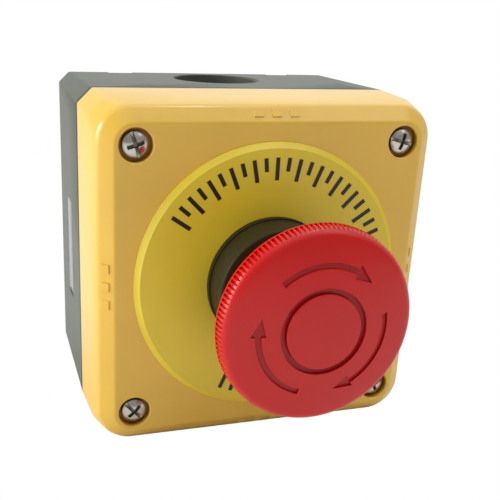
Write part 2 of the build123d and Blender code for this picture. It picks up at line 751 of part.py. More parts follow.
def make_stem():
    middle = pocket_floor + end_play
    shoulder = actuator_front + rest_gap
    stem = turned([(0, stem_end_depth), (stem_tail_radius, stem_end_depth), (stem_tail_radius, middle),
                   (stem_middle_radius, middle), (stem_middle_radius, shoulder),
                   (stem_radius, shoulder), (stem_radius, stem_front_depth), (0, stem_front_depth)])
    for side in (-1, 1):
        stem -= block_of(-stem_radius - 1, stem_radius + 1, stem_front_depth - stem_flat_length,
                         stem_front_depth + 1, side * stem_flat, side * (stem_radius + 1))
    waist_half = latch_pin_radius + stem_cam_gap
    stem -= tube(stem_radius, stem_waist_radius, latch_pin_depth - waist_half, latch_pin_depth + waist_half)
    stem -= tube(stem_radius, clip_inner - stem_fit_gap, clip_front - clip_thickness - stem_fit_gap,
                 clip_front + stem_fit_gap)
    hole_end = stem_screw_seat - stem_screw_length - stem_hole_extra
    return stem - rod(stem_screw_radius + thread_gap, hole_end, stem_front_depth + 1)


def make_stem_clip():
    clip = tube(clip_radius, clip_inner, clip_front - clip_thickness, clip_front)
    mouth = block_of(0, clip_radius + 1, clip_front - clip_thickness - 1, clip_front + 1,
                     -clip_mouth / 2, clip_mouth / 2)
    return clip - mouth


def make_stem_screw():
    head = drive_head(stem_screw_head_radius, stem_screw_head_height, stem_screw_seat, 0.0,
                      screw_slot_width, screw_recess_depth, screw_cross_span)
    return head + rod(stem_screw_radius, stem_screw_seat - stem_screw_length, stem_screw_seat)


# The actuator, which the stem pushes and which carries the latch pins

def make_actuator():
    body = turned([(stem_tail_radius + stem_tail_gap, pocket_floor), (spring_pocket_radius, pocket_floor),
                   (spring_pocket_radius, actuator_front), (actuator_radius, actuator_front),
                   (actuator_radius, actuator_rear_depth), (actuator_nose_radius, actuator_rear_depth),
                   (actuator_nose_radius, nose_end_depth), (clip_pocket_radius, nose_end_depth),
                   (clip_pocket_radius, clip_shoulder), (stem_tail_radius + stem_tail_gap, clip_shoulder)])
    key_outer = actuator_radius + guide_key_rise
    for side in (-1, 1):
        body += block_of(side * (actuator_radius - 1), side * key_outer, actuator_rear_depth + guide_key_inset,
                         actuator_front - guide_key_inset, -guide_key_width / 2, guide_key_width / 2)
    hole = Cylinder(latch_pin_radius + latch_pin_gap, 4 * actuator_radius)
    return body - Pos(0, -latch_pin_depth, 0) * hole


def make_latch_pins():
    inner = stem_waist_radius + latch_pin_inner_gap
    outer = sleeve_bore - latch_pin_outer_gap
    pin = Cylinder(latch_pin_radius, outer - inner)
    pin = chamfer(pin.edges().filter_by(GeomType.CIRCLE), latch_pin_chamfer)
    return [Pos(0, -latch_pin_depth, side * (inner + outer) / 2) * pin for side in (-1, 1)]


def make_pusher():
    plate = rod(pusher_radius, pusher_rear, nose_end_depth)
    plate = chamfer(plate.edges().filter_by(GeomType.CIRCLE), pusher_chamfer)
    return plate + rod(clip_pocket_radius - pusher_boss_gap, nose_end_depth - 1, nose_end_depth + pusher_boss_length)


def make_return_spring():
    mean_radius = (actuator_nose_radius + sleeve_bore) / 2
    return coil(mean_radius, return_wire_radius, ring_rear_depth + ring_thickness + spring_gap,
                actuator_rear_depth - spring_gap, return_turns)


def make_twist_spring():
    mean_radius = (stem_middle_radius + spring_pocket_radius) / 2
    return coil(mean_radius, twist_wire_radius, pocket_floor + spring_gap, actuator_front - spring_gap,
                twist_turns)


# The contact blocks, one normally closed and one normally open

def in_block(side, x0, x1, depth0, depth1, z0, z1):
    """Box in one contact block, with X counted outwards from the block's inner face."""
    return block_of(side * (block_half_gap + x0), side * (block_half_gap + x1), depth0, depth1, z0, z1)


def make_block_housing(side):
    top = block_height / 2
    open_side = block_width - block_cover_thickness
    centre = side * plunger_x
    housing = in_block(side, 0, open_side, block_rear_depth, block_front_depth, -top, top)
    housing -= in_block(side, block_wall, open_side + 1, block_rear_depth + block_wall,
                        block_front_depth - block_wall, -top + block_wall, top - block_wall)
    hole = plunger_side / 2 + plunger_gap
    housing -= block_of(centre - hole, centre + hole, block_front_depth - 2 * block_wall,
                        block_front_depth + 1, -hole, hole)
    slot_from = block_width / 2 - strip_width / 2 - strip_slot_gap
    partition_end = partition_z + partition_thickness
    for end in (-1, 1):
        housing += in_block(side, block_wall / 2, open_side, block_rear_depth + block_wall / 2,
                            block_front_depth - block_wall / 2, end * partition_z, end * partition_end)
        housing -= in_block(side, slot_from, open_side + 1, strip_level - strip_slot_gap,
                            strip_level + strip_thickness + strip_slot_gap,
                            end * (partition_z - 1), end * (partition_end + 1))
        housing -= rod(terminal_hole_radius, block_front_depth - 2 * block_wall, block_front_depth + 1,
                       centre, end * terminal_z)
        window = wire_window_width / 2
        housing -= block_of(centre - window, centre + window, strip_level - wire_window_height, strip_level,
                            end * (top - 2 * block_wall), end * (top + 1))
        housing += in_block(side, lug_inset, open_side, block_rear_depth, block_rear_depth + lug_thickness,
                            end * (top - block_wall / 2), end * (top + lug_length))
        housing -= rod(block_screw_hole_radius, block_rear_depth - 1, block_rear_depth + lug_thickness + 1,
                       centre, end * block_screw_z)
    return housing


def make_block_cover(side):
    top = block_height / 2
    return in_block(side, block_width - block_cover_thickness, block_width,
                    block_rear_depth, block_front_depth, -top, top)


def bridge_depths(closed_at_rest):
    """Rear and front depth of the moving bridge, and the side its tips point to."""
    if closed_at_rest:
        front = strip_level - contact_gap - tip_height
        return front - bridge_thickness, front, 1
    rear = strip_level - open_bridge_step
    return rear, rear + bridge_thickness, -1


def make_plunger(side, closed_at_rest):
    x = side * plunger_x
    reach = plunger_side / 2
    plunger = block_of(x - reach, x + reach, plunger_rear_depth, plunger_top, -reach, reach)
    plunger = chamfer(plunger.faces().sort_by(Axis.Y)[0].edges(), plunger_chamfer)
    plunger -= rod(plunger_pocket_radius, plunger_rear_depth - 1, plunger_rear_depth + plunger_pocket_depth, x)
    rear, front, _ = bridge_depths(closed_at_rest)
    slot = plunger_slot_width / 2
    return plunger - block_of(x - slot, x + slot, rear, front + bridge_play, -reach - 1, reach + 1)


def make_bridge(side, closed_at_rest):
    x = side * plunger_x
    rear, front, facing = bridge_depths(closed_at_rest)
    bridge = block_of(x - bridge_width / 2, x + bridge_width / 2, rear, front,
                      -bridge_length / 2, bridge_length / 2)
    for end in (-1, 1):
        if facing > 0:
            bridge += rod(tip_radius, front - bridge_thickness / 2, front + tip_height, x, end * tip_z)
        else:
            bridge += rod(tip_radius, rear - tip_height, rear + bridge_thickness / 2, x, end * tip_z)
    return bridge


def make_contact_spring(side):
    return coil(contact_coil_radius, contact_wire_radius, block_rear_depth + block_wall + spring_gap,
                plunger_rear_depth + plunger_pocket_depth - spring_gap, contact_turns, side * plunger_x)


def make_terminals(side, closed_at_rest):
    """Two fixed contact strips; those of the open pair step back to meet the bridge's stroke."""
    x = side * plunger_x
    reach = strip_width / 2
    level = strip_level + strip_thickness
    strips = []
    for end in (-1, 1):
        if closed_at_rest:
            strip = block_of(x - reach, x + reach, strip_level, level, end * strip_inner_z, end * strip_outer_z)
        else:
            tip_rear = bridge_depths(False)[0] - tip_height
            low = tip_rear - press_travel - open_contact_play
            strip = block_of(x - reach, x + reach, low - strip_thickness, low,
                             end * strip_inner_z, end * (riser_z + strip_thickness))
            strip += block_of(x - reach, x + reach, low - strip_thickness, level,
                              end * riser_z, end * (riser_z + strip_thickness))
            strip += block_of(x - reach, x + reach, strip_level, level, end * riser_z, end * strip_outer_z)
        strip -= rod(terminal_screw_radius + thread_gap, strip_level - 1, level + 1, x, end * terminal_z)
        strips.append(strip)
    return strips


def make_terminal_screws(side):
    seat = strip_level + strip_thickness
    screws = []
    for end in (-1, 1):
        head = drive_head(terminal_head_radius, terminal_head_height, seat, 30.0 * end,
                          screw_slot_width, screw_recess_depth, screw_cross_span)
        shank = rod(terminal_screw_radius, seat - terminal_screw_length, seat)
        screws.append(Pos(side * plunger_x, 0, end * terminal_z) * (head + shank))
    return screws


def make_clamps(side):
    x = side * plunger_x
    reach = clamp_side / 2
    front = strip_level - clamp_drop
    clamps = []
    for end in (-1, 1):
        z = end * terminal_z
        clamp = block_of(x - reach, x + reach, front - clamp_thickness, front, z - reach, z + reach)
        clamps.append(clamp - rod(terminal_screw_radius + thread_gap, front - clamp_thickness - 1, front + 1, x, z))
    return clamps


def make_block_screws():
    seat = block_rear_depth + lug_thickness
    screws = []
    for side in (-1, 1):
        for end in (-1, 1):
            head = drive_head(block_screw_head_radius, block_screw_head_height, seat, 20.0 * side * end,
                              screw_slot_width, block_screw_recess, block_screw_cross)
            shank = rod(block_screw_radius, seat - block_screw_length, seat)
            screws.append(Pos(side * plunger_x, 0, end * block_screw_z) * (head + shank))
    return screws


nodes = {
    "rear_housing": make_rear_housing(),
    "front_cover": make_front_cover(),
    "cover_gasket": make_cover_gasket(),
    "cover_screws": make_cover_screws(),
    "threaded_inserts": make_threaded_inserts(),
    "legend_plate": make_legend_plate(),
    "bezel": make_bezel(),
    "bezel_gasket": make_bezel_gasket(),
    "fixing_nut": make_fixing_nut(),
    "stem_seal": make_stem_seal(),
    "retaining_ring": make_retaining_ring(),
    "mushroom_button": make_mushroom_button(),
    "centre_cap": make_centre_cap(),
    "stem": make_stem(),
    "stem_clip": make_stem_clip(),
    "stem_screw": make_stem_screw(),
    "actuator": make_actuator(),
    "latch_pins": make_latch_pins(),
    "pusher": make_pusher(),
    "return_spring": make_return_spring(),
    "twist_spring": make_twist_spring(),
    "block_screws": make_block_screws(),
}
for name, side, closed_at_rest in (("nc", -1, True), ("no", 1, False)):
    nodes[name + "_block_housing"] = make_block_housing(side)
    nodes[name + "_block_cover"] = make_block_cover(side)
    nodes[name + "_plunger"] = make_plunger(side, closed_at_rest)
    nodes[name + "_bridge"] = make_bridge(side, closed_at_rest)
    nodes[name + "_spring"] = make_contact_spring(side)
    nodes[name + "_terminals"] = make_terminals(side, closed_at_rest)
    nodes[name + "_terminal_screws"] = make_terminal_screws(side)
    nodes[name + "_clamps"] = make_clamps(side)

os.makedirs("parts", exist_ok=True)
for name, shape in nodes.items():
    solids = shape if isinstance(shape, list) else [shape]
    whole = solids[0] if len(solids) == 1 else Compound(children=solids)
    export_step(whole, f"parts/{name}.step")
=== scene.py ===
import bpy
import bmesh
from math import cos, pi, radians, sin, sqrt
from mathutils import Matrix, Vector


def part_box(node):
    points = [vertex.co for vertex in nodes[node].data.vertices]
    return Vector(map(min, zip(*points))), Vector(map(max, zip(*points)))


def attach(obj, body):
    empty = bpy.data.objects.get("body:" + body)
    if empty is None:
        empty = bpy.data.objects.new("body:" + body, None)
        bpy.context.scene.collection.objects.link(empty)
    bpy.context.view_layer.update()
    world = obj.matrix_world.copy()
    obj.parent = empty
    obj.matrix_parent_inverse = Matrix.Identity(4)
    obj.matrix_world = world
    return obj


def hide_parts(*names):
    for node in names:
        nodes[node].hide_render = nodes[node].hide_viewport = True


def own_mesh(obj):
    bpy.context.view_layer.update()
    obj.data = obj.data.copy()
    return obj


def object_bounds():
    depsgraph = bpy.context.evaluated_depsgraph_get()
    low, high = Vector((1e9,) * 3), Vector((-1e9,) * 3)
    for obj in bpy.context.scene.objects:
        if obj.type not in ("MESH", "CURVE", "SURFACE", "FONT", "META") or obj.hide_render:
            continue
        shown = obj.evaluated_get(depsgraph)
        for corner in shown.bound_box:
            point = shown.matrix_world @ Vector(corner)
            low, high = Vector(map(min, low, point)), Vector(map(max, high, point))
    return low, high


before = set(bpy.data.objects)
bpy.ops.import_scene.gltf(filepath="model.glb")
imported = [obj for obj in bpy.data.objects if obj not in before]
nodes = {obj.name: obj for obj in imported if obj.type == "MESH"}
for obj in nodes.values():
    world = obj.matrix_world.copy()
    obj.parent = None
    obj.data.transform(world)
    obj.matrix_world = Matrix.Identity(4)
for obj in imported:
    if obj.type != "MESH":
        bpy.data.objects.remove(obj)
cad_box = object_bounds()


# Rear housing. The grey half of the box, injection moulded in a tough plastic with a spark-eroded
# texture. It is screwed to a wall through four holes, and the cable comes in through the hole on top.
mm = 0.001
housing_grey = (0.108, 0.118, 0.092)
parting_depth = 35.0
smooth_below = 35.0
weld_distance = 0.0005 * mm
cloud_scale = 70.0
gloss_spread = 0.14
grain_strength = 0.35
coat_roughness = 0.12


def new_material(name):
    """Material with only its shader and its output, ready for more nodes."""
    material = bpy.data.materials.new(name)
    material.use_nodes = True
    return material, material.node_tree, material.node_tree.nodes["Principled BSDF"]


def add_node(tree, kind, **settings):
    """Shader node whose settings are either properties or input values by name."""
    made = tree.nodes.new(kind)
    for key, value in settings.items():
        if hasattr(made, key):
            setattr(made, key, value)
        else:
            made.inputs[key.replace("_", " ")].default_value = value
    return made


def shades_of(tree, factor, darker, lighter, low=0.3, high=0.7):
    """Colour ramp between two shades, driven by a pattern."""
    ramp = add_node(tree, "ShaderNodeValToRGB")
    ramp.color_ramp.elements[0].position = low
    ramp.color_ramp.elements[0].color = (*darker, 1)
    ramp.color_ramp.elements[1].position = high
    ramp.color_ramp.elements[1].color = (*lighter, 1)
    tree.links.new(factor, ramp.inputs["Fac"])
    return ramp


def uneven_gloss(tree, shader, pattern, smoothest, roughest):
    """Let a pattern vary the roughness between two values."""
    gloss = add_node(tree, "ShaderNodeMapRange")
    gloss.inputs["To Min"].default_value = smoothest
    gloss.inputs["To Max"].default_value = roughest
    tree.links.new(pattern, gloss.inputs["Value"])
    tree.links.new(gloss.outputs["Result"], shader.inputs["Roughness"])


def raise_grain(tree, shader, pattern, strength, depth):
    """Bump from a pattern."""
    bump = add_node(tree, "ShaderNodeBump", Strength=strength, Distance=depth)
    tree.links.new(pattern, bump.inputs["Height"])
    tree.links.new(bump.outputs["Normal"], shader.inputs["Normal"])


def moulded(name, colour, roughness, grain, grain_depth, cloudiness=0.06, coat=0.0, shine=0.5):
    """Moulded plastic: fine spark-eroded grain, faint flow clouds in colour and in gloss."""
    material, tree, shader = new_material(name)
    place = add_node(tree, "ShaderNodeTexCoord")
    clouds = add_node(tree, "ShaderNodeTexNoise", Scale=cloud_scale, Detail=3.0, Roughness=0.55)
    tree.links.new(place.outputs["Object"], clouds.inputs["Vector"])
    darker = [part * (1 - cloudiness) for part in colour]
    lighter = [min(1.0, part * (1 + cloudiness)) for part in colour]
    shades = shades_of(tree, clouds.outputs["Fac"], darker, lighter)
    tree.links.new(shades.outputs["Color"], shader.inputs["Base Color"])
    texture = add_node(tree, "ShaderNodeTexNoise", Scale=grain, Detail=2.0, Roughness=0.6)
    tree.links.new(place.outputs["Object"], texture.inputs["Vector"])
    uneven_gloss(tree, shader, texture.outputs["Fac"],
                 roughness * (1 - gloss_spread), roughness * (1 + gloss_spread))
    raise_grain(tree, shader, texture.outputs["Fac"], grain_strength, grain_depth)
    shader.inputs["Specular IOR Level"].default_value = shine
    shader.inputs["Coat Weight"].default_value = coat
    shader.inputs["Coat Roughness"].default_value = coat_roughness
    return material


def smooth_group():
    """Geometry nodes that shade smooth where faces meet at less than a set angle."""
    group = bpy.data.node_groups.new("smooth_facets", "GeometryNodeTree")
    group.interface.new_socket("Geometry", in_out="INPUT", socket_type="NodeSocketGeometry")
    group.interface.new_socket("Geometry", in_out="OUTPUT", socket_type="NodeSocketGeometry")
    start = group.nodes.new("NodeGroupInput")
    end = group.nodes.new("NodeGroupOutput")
    edge = group.nodes.new("GeometryNodeInputMeshEdgeAngle")
    flat = group.nodes.new("FunctionNodeCompare")
    flat.operation = "LESS_THAN"
    flat.inputs["B"].default_value = radians(smooth_below)
    faces = group.nodes.new("GeometryNodeSetShadeSmooth")
    edges = group.nodes.new("GeometryNodeSetShadeSmooth")
    edges.domain = "EDGE"
    group.links.new(start.outputs[0], faces.inputs["Geometry"])
    group.links.new(faces.outputs[0], edges.inputs["Geometry"])
    group.links.new(edge.outputs["Unsigned Angle"], flat.inputs["A"])
    group.links.new(flat.outputs["Result"], edges.inputs["Shade Smooth"])
    group.links.new(edges.outputs[0], end.inputs[0])
    return group


smooth_facets = smooth_group()


def finish_node(name, material):
    """Give a carried-over node its material and smooth shading over its fine facets."""
    node = nodes[name]
    node.data.materials.clear()
    node.data.materials.append(material)
    weld = node.modifiers.new("weld", "WELD")
    weld.merge_threshold = weld_distance
    node.modifiers.new("smooth", "NODES").node_group = smooth_facets
    return node


def mix_in(tree, socket, mask, value):
    """Change one input of a material's shader to another value where a mask is 1."""
    shader = tree.nodes["Principled BSDF"]
    old = shader.inputs[socket].links[0].from_socket
    mixed = add_node(tree, "ShaderNodeMix", data_type="RGBA")
    tree.links.new(mask, mixed.inputs["Factor"])
    tree.links.new(old, mixed.inputs["A"])
    mixed.inputs["B"].default_value = (*value, 1)
    tree.links.new(mixed.outputs["Result"], shader.inputs[socket])


def paint_seam_shade(material, dark, shade_free_depth, dark_depth):
    """Paint shade into a moulding's colour from one depth in the box to another, darkest at the seam."""
    tree = material.node_tree
    split = add_node(tree, "ShaderNodeSeparateXYZ")
    tree.links.new(tree.nodes["Texture Coordinate"].outputs["Object"], split.inputs["Vector"])
    at_seam = add_node(tree, "ShaderNodeMapRange")
    at_seam.inputs["From Min"].default_value = -shade_free_depth * mm
    at_seam.inputs["From Max"].default_value = -dark_depth * mm
    tree.links.new(split.outputs["Y"], at_seam.inputs["Value"])
    mix_in(tree, "Base Color", at_seam.outputs["Result"], dark)


# Painted shade: the grey darkens towards the seam with the cover, where the cover's edge shades it.
grey_seam_shade = (0.012, 0.012, 0.004)
grey_seam_shade_start = parting_depth - 1.5
grey_seam_shade_full = parting_depth - 0.7
grey_plastic = moulded("grey_plastic", housing_grey, roughness=0.42, grain=2600.0,
                       grain_depth=0.03 * mm, shine=0.15)
paint_seam_shade(grey_plastic, grey_seam_shade, grey_seam_shade_start, grey_seam_shade_full)
finish_node("rear_housing", grey_plastic)


# Side plate. A thin glossy plate of grey plastic with slightly rounded edges. It is glued into the
# shallow recess on the left side of the rear housing.
plate_low = (-36.63, -20.78, -15.58)
plate_high = (-36.25, -12.02, 8.58)
plate_edge = 0.04
plate_grey = (0.13, 0.135, 0.12)


def new_piece(name, mesh, body, material):
    """Object from a finished bmesh, on a body of the frame."""
    data = bpy.data.meshes.new(name)
    mesh.to_mesh(data)
    mesh.free()
    data.materials.append(material)
    piece = bpy.data.objects.new(name, data)
    bpy.context.scene.collection.objects.link(piece)
    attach(piece, body)
    piece.modifiers.new("smooth", "NODES").node_group = smooth_facets
    return piece


plate_plastic = moulded("plate_grey", plate_grey, roughness=0.2, grain=1800.0,
                        grain_depth=0.004 * mm, cloudiness=0.03, coat=0.3)
plate_mesh = bmesh.new()
bmesh.ops.create_cube(plate_mesh, size=1.0)
plate_size = [(high - low) * mm for low, high in zip(plate_low, plate_high)]
plate_middle = [(low + high) / 2 * mm for low, high in zip(plate_low, plate_high)]
bmesh.ops.scale(plate_mesh, vec=plate_size, verts=plate_mesh.verts)
bmesh.ops.translate(plate_mesh, vec=plate_middle, verts=plate_mesh.verts)
bmesh.ops.bevel(plate_mesh, geom=plate_mesh.edges[:], offset=plate_edge * mm, segments=3, profile=0.5,
                affect="EDGES")
new_piece("side_plate", plate_mesh, "enclosure", plate_plastic)


# Threaded inserts. Turned brass bushes, pressed into the four pillars of the rear housing. The
# cover's screws turn in them.
scratch_strength = 0.15
scratch_depth = 0.01 * mm
brightest_polish = 0.7
dullest_polish = 1.4


def metal(name, colour, roughness, scratches=900.0, stretch=(1.0, 1.0, 1.0), wear=0.12):
    """Machined or plated metal with fine scratches and a slightly uneven polish."""
    material, tree, shader = new_material(name)
    place = add_node(tree, "ShaderNodeTexCoord")
    turn = add_node(tree, "ShaderNodeMapping", Scale=stretch)
    tree.links.new(place.outputs["Object"], turn.inputs["Vector"])
    marks = add_node(tree, "ShaderNodeTexNoise", Scale=scratches, Detail=4.0, Roughness=0.65)
    tree.links.new(turn.outputs["Vector"], marks.inputs["Vector"])
    darker = [part * (1 - wear) for part in colour]
    shades = shades_of(tree, marks.outputs["Fac"], darker, colour, low=0.35, high=0.6)
    tree.links.new(shades.outputs["Color"], shader.inputs["Base Color"])
    uneven_gloss(tree, shader, marks.outputs["Fac"],
                 roughness * brightest_polish, roughness * dullest_polish)
    raise_grain(tree, shader, marks.outputs["Fac"], scratch_strength, scratch_depth)
    shader.inputs["Metallic"].default_value = 1.0
    return material


brass_colour = (0.72, 0.50, 0.20)
brass = metal("brass", brass_colour, roughness=0.28)
finish_node("threaded_inserts", brass)


# Contact blocks. Two narrow grey mouldings side by side, each with a snapped-on cover, brass
# contacts, a coloured plunger and a coil spring. Screws through their lugs hold them on the rear
# wall's pedestals, and pressing the button shortens their springs.
plunger_colours = {"nc": ("plunger_red", (0.45, 0.02, 0.015)), "no": ("plunger_green", (0.03, 0.22, 0.06))}
nickel_colour = (0.66, 0.63, 0.57)
steel_colour = (0.50, 0.50, 0.50)
block_colour = (0.36, 0.37, 0.36)
nickel = metal("nickel_plated_steel", nickel_colour, roughness=0.22)
spring_steel = metal("spring_steel", steel_colour, roughness=0.3, stretch=(1.0, 6.0, 1.0))
block_grey = moulded("block_grey", block_colour, roughness=0.45, grain=2200.0, grain_depth=0.02 * mm)


def finish_spring(name):
    """Coil spring of spring steel, on a mesh of its own."""
    spring = finish_node(name, spring_steel)
    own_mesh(spring)


for block, (slot, colour) in plunger_colours.items():
    plunger_plastic = moulded(slot, colour, roughness=0.4, grain=2000.0, grain_depth=0.02 * mm)
    finish_node(block + "_plunger", plunger_plastic)
    for part in ("_block_housing", "_block_cover"):
        finish_node(block + part, block_grey)
    for part in ("_bridge", "_terminals"):
        finish_node(block + part, brass)
    for part in ("_clamps", "_terminal_screws"):
        finish_node(block + part, nickel)
    finish_spring(block + "_spring")
finish_node("block_screws", nickel)


# Front cover. The yellow half of the box, moulded in a semi-gloss plastic with soft bevels. Four
# screws hold it on the housing, and its rubber gasket lies in the groove that the housing's tongue
# closes.
cover_yellow = (0.84, 0.515, 0.052)
cover_shadow = (0.36, 0.125, 0.012)
# Painted shade: the cover's rear edge darkens to olive at the seam with the housing.
cover_seam_shade = (0.08, 0.06, 0.004)
cover_seam_shade_start = parting_depth + 0.85
cover_seam_shade_full = parting_depth + 0.5
hollow_roughness = 0.7
rubber_black = (0.012, 0.012, 0.012)


def paint_shade_in_hollows(material, dark, reach, closed, open_air):
    """Paint shade into a material's colour, and roughen it, where its surface is closed in."""
    tree = material.node_tree
    hollow = add_node(tree, "ShaderNodeAmbientOcclusion", samples=12, Distance=reach)
    depth = add_node(tree, "ShaderNodeMapRange")
    depth.inputs["From Min"].default_value = open_air
    depth.inputs["From Max"].default_value = closed
    tree.links.new(hollow.outputs["AO"], depth.inputs["Value"])
    mix_in(tree, "Base Color", depth.outputs["Result"], dark)
    mix_in(tree, "Roughness", depth.outputs["Result"], [hollow_roughness] * 3)


cover_plastic = moulded("cover_plastic", cover_yellow, roughness=0.32, grain=2400.0,
                        grain_depth=0.015 * mm, cloudiness=0.03, coat=0.25, shine=0.65)
# Painted shade in the cover's counterbores and other closed-in places.
paint_shade_in_hollows(cover_plastic, cover_shadow, reach=2.2 * mm, closed=0.25, open_air=0.6)
paint_seam_shade(cover_plastic, cover_seam_shade, cover_seam_shade_start, cover_seam_shade_full)
rubber = moulded("black_rubber", rubber_black, roughness=0.62, grain=1500.0, grain_depth=0.03 * mm)
finish_node("front_cover", cover_plastic)
finish_node("cover_gasket", rubber)


# Legend plate. A flat yellow disc of satin plastic with a bevelled edge and two arcs of plain
# printed bars, clamped between the cover and the bezel's flange.
legend_yellow = (0.84, 0.635, 0.03)
ink_black = (0.014, 0.010, 0.008)
legend_front = -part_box("legend_plate")[0][1] / mm
bar_outer = 27.0
bar_width = 0.9
bar_lengths = (4.8, 2.9)
bar_pitch = 5.6
print_thickness = 0.02
bar_arcs = {"upper_bars": (-56.0, 67.0), "lower_bars": (157.0, 203.0)}
legend_plastic = moulded("legend_plastic", legend_yellow, roughness=0.42, grain=2600.0,
                         grain_depth=0.012 * mm, cloudiness=0.03, shine=0.65)
ink = moulded("black_ink", ink_black, roughness=0.4, grain=2600.0, grain_depth=0.004 * mm)
finish_node("legend_plate", legend_plastic)


def printed_bars(name, first_turn, last_turn):
    """Arc of bars on the plate, every second one short, with turns clockwise from the top."""
    mesh = bmesh.new()
    count = round((last_turn - first_turn) / bar_pitch)
    for place in range(count + 1):
        length = bar_lengths[place % 2]
        turn = Matrix.Rotation(radians(first_turn + place * (last_turn - first_turn) / count), 4, "Y")
        bar = bmesh.ops.create_cube(mesh, size=1.0)["verts"]
        bmesh.ops.scale(mesh, vec=(bar_width * mm, print_thickness * mm, length * mm), verts=bar)
        middle = Vector((0, -legend_front - print_thickness / 2, bar_outer - length / 2)) * mm
        bmesh.ops.translate(mesh, vec=middle, verts=bar)
        bmesh.ops.transform(mesh, matrix=turn, verts=bar)
    new_piece(name, mesh, "enclosure", ink)


for name, (first_turn, last_turn) in bar_arcs.items():
    printed_bars(name, first_turn, last_turn)


# Bezel and what clamps it. A black plastic cup and sleeve go through the cover's hole, with a rubber
# ring under the flange and a plastic nut behind the panel. Inside are the stem's seal and the return
# spring, which the retaining ring holds in the sleeve.
bezel_black = (0.033, 0.026, 0.009)
black_plastic = moulded("black_plastic", bezel_black, roughness=0.5, grain=2400.0,
                        grain_depth=0.02 * mm, shine=0.2)
for name in ("bezel", "fixing_nut", "retaining_ring"):
    finish_node(name, black_plastic)
for name in ("bezel_gasket", "stem_seal"):
    finish_node(name, rubber)
finish_spring("return_spring")


# Actuator. A white plastic slider in the bezel's sleeve, with steel latch pins, the pusher that
# reaches the contact blocks, and the spring that turns the button back.
actuator_white = (0.62, 0.62, 0.57)
white_plastic = moulded("white_plastic", actuator_white, roughness=0.4, grain=2200.0,
                        grain_depth=0.02 * mm)
for name in ("actuator", "pusher"):
    finish_node(name, white_plastic)
for name in ("latch_pins", "twist_spring"):
    finish_node(name, spring_steel)


# Mushroom button. A red moulding with a finely ribbed rim and three sunk arrows, on a die-cast stem
# that a screw and a clip hold. The round cap in the middle covers the screw.
button_red = (0.62, 0.004, 0.003)
stem_colour = (0.50, 0.50, 0.49)
glow_weight = 0.07
glow_reach = 0.7 * mm
glow_spread = (1.0, 0.25, 0.25)
button_apex = -cad_box[0].y / mm
dome_radius = 75.77
red_plastic = moulded("red_plastic", button_red, roughness=0.3, grain=2600.0,
                      grain_depth=0.01 * mm, cloudiness=0.03)
red_tree = red_plastic.node_tree
red_shader = red_tree.nodes["Principled BSDF"]
red_shader.inputs["Subsurface Weight"].default_value = glow_weight
red_shader.inputs["Subsurface Radius"].default_value = glow_spread
red_shader.inputs["Subsurface Scale"].default_value = glow_reach
cast_metal = metal("cast_metal", stem_colour, roughness=0.45)
finish_node("mushroom_button", red_plastic)
finish_node("stem", cast_metal)
finish_node("stem_clip", spring_steel)
finish_node("stem_screw", nickel)

# The floors of the arrows and of the ring groove are duller than the dome, with shade painted darker
# into them; they are the places well below the dome's sphere, inside the rim's roll
sunk_painted_shade_red = (0.45, 0.001, 0.001)
sunk_roughness = 0.46
sunk_start = 0.10
sunk_full = 0.22
roll_radius = 16.0


def sunk_places(tree):
    """Mask that is 1 on the sunk floors of the dome."""
    place = tree.nodes["Texture Coordinate"].outputs["Object"]
    from_centre = add_node(tree, "ShaderNodeVectorMath", operation="DISTANCE")
    from_centre.inputs[1].default_value = (0, -(button_apex - dome_radius) * mm, 0)
    tree.links.new(place, from_centre.inputs[0])
    below = add_node(tree, "ShaderNodeMapRange")
    below.inputs["From Min"].default_value = (dome_radius - sunk_start) * mm
    below.inputs["From Max"].default_value = (dome_radius - sunk_full) * mm
    tree.links.new(from_centre.outputs["Value"], below.inputs["Value"])
    across = add_node(tree, "ShaderNodeVectorMath", operation="MULTIPLY")
    across.inputs[1].default_value = (1, 0, 1)
    tree.links.new(place, across.inputs[0])
    off_axis = add_node(tree, "ShaderNodeVectorMath", operation="LENGTH")
    tree.links.new(across.outputs["Vector"], off_axis.inputs[0])
    inside_roll = add_node(tree, "ShaderNodeMath", operation="LESS_THAN")
    inside_roll.inputs[1].default_value = roll_radius * mm
    tree.links.new(off_axis.outputs["Value"], inside_roll.inputs[0])
    sunk = add_node(tree, "ShaderNodeMath", operation="MULTIPLY")
    tree.links.new(below.outputs["Result"], sunk.inputs[0])
    tree.links.new(inside_roll.outputs["Value"], sunk.inputs[1])
    return sunk.outputs["Value"]


sunk_mask = sunk_places(red_tree)
mix_in(red_tree, "Base Color", sunk_mask, sunk_painted_shade_red)
mix_in(red_tree, "Roughness", sunk_mask, [sunk_roughness] * 3)

# The cap is turned anew with a rounded edge: its profile is (radius, depth) from the middle round
cap_radius = 7.65
cap_edge = 0.2
cap_rear = 84.2
cap_recess_radius = 4.3
cap_recess = 1.2
cap_rings = 12
cap_edge_steps = 4


def dome_depth(radius):
    """Depth of the mushroom's dome at a radius."""
    return button_apex - dome_radius + sqrt(dome_radius ** 2 - radius ** 2)


def turned_piece(name, body, material, profile, steps=180):
    """Solid turned about the button's axis from a profile that starts and ends on that axis."""
    mesh = bmesh.new()
    turns = [2 * pi * step / steps for step in range(steps)]
    rings = []
    for radius, depth in profile:
        if radius == 0:
            rings.append([mesh.verts.new((0, -depth * mm, 0))] * steps)
        else:
            rings.append([mesh.verts.new((radius * sin(turn) * mm, -depth * mm, radius * cos(turn) * mm))
                          for turn in turns])
    for ring, after in zip(rings, rings[1:]):
        for step in range(steps):
            following = (step + 1) % steps
            corners = [ring[step], after[step], after[following], ring[following]]
            mesh.faces.new(list(dict.fromkeys(corners)))
    bmesh.ops.recalc_face_normals(mesh, faces=mesh.faces)
    return new_piece(name, mesh, body, material)


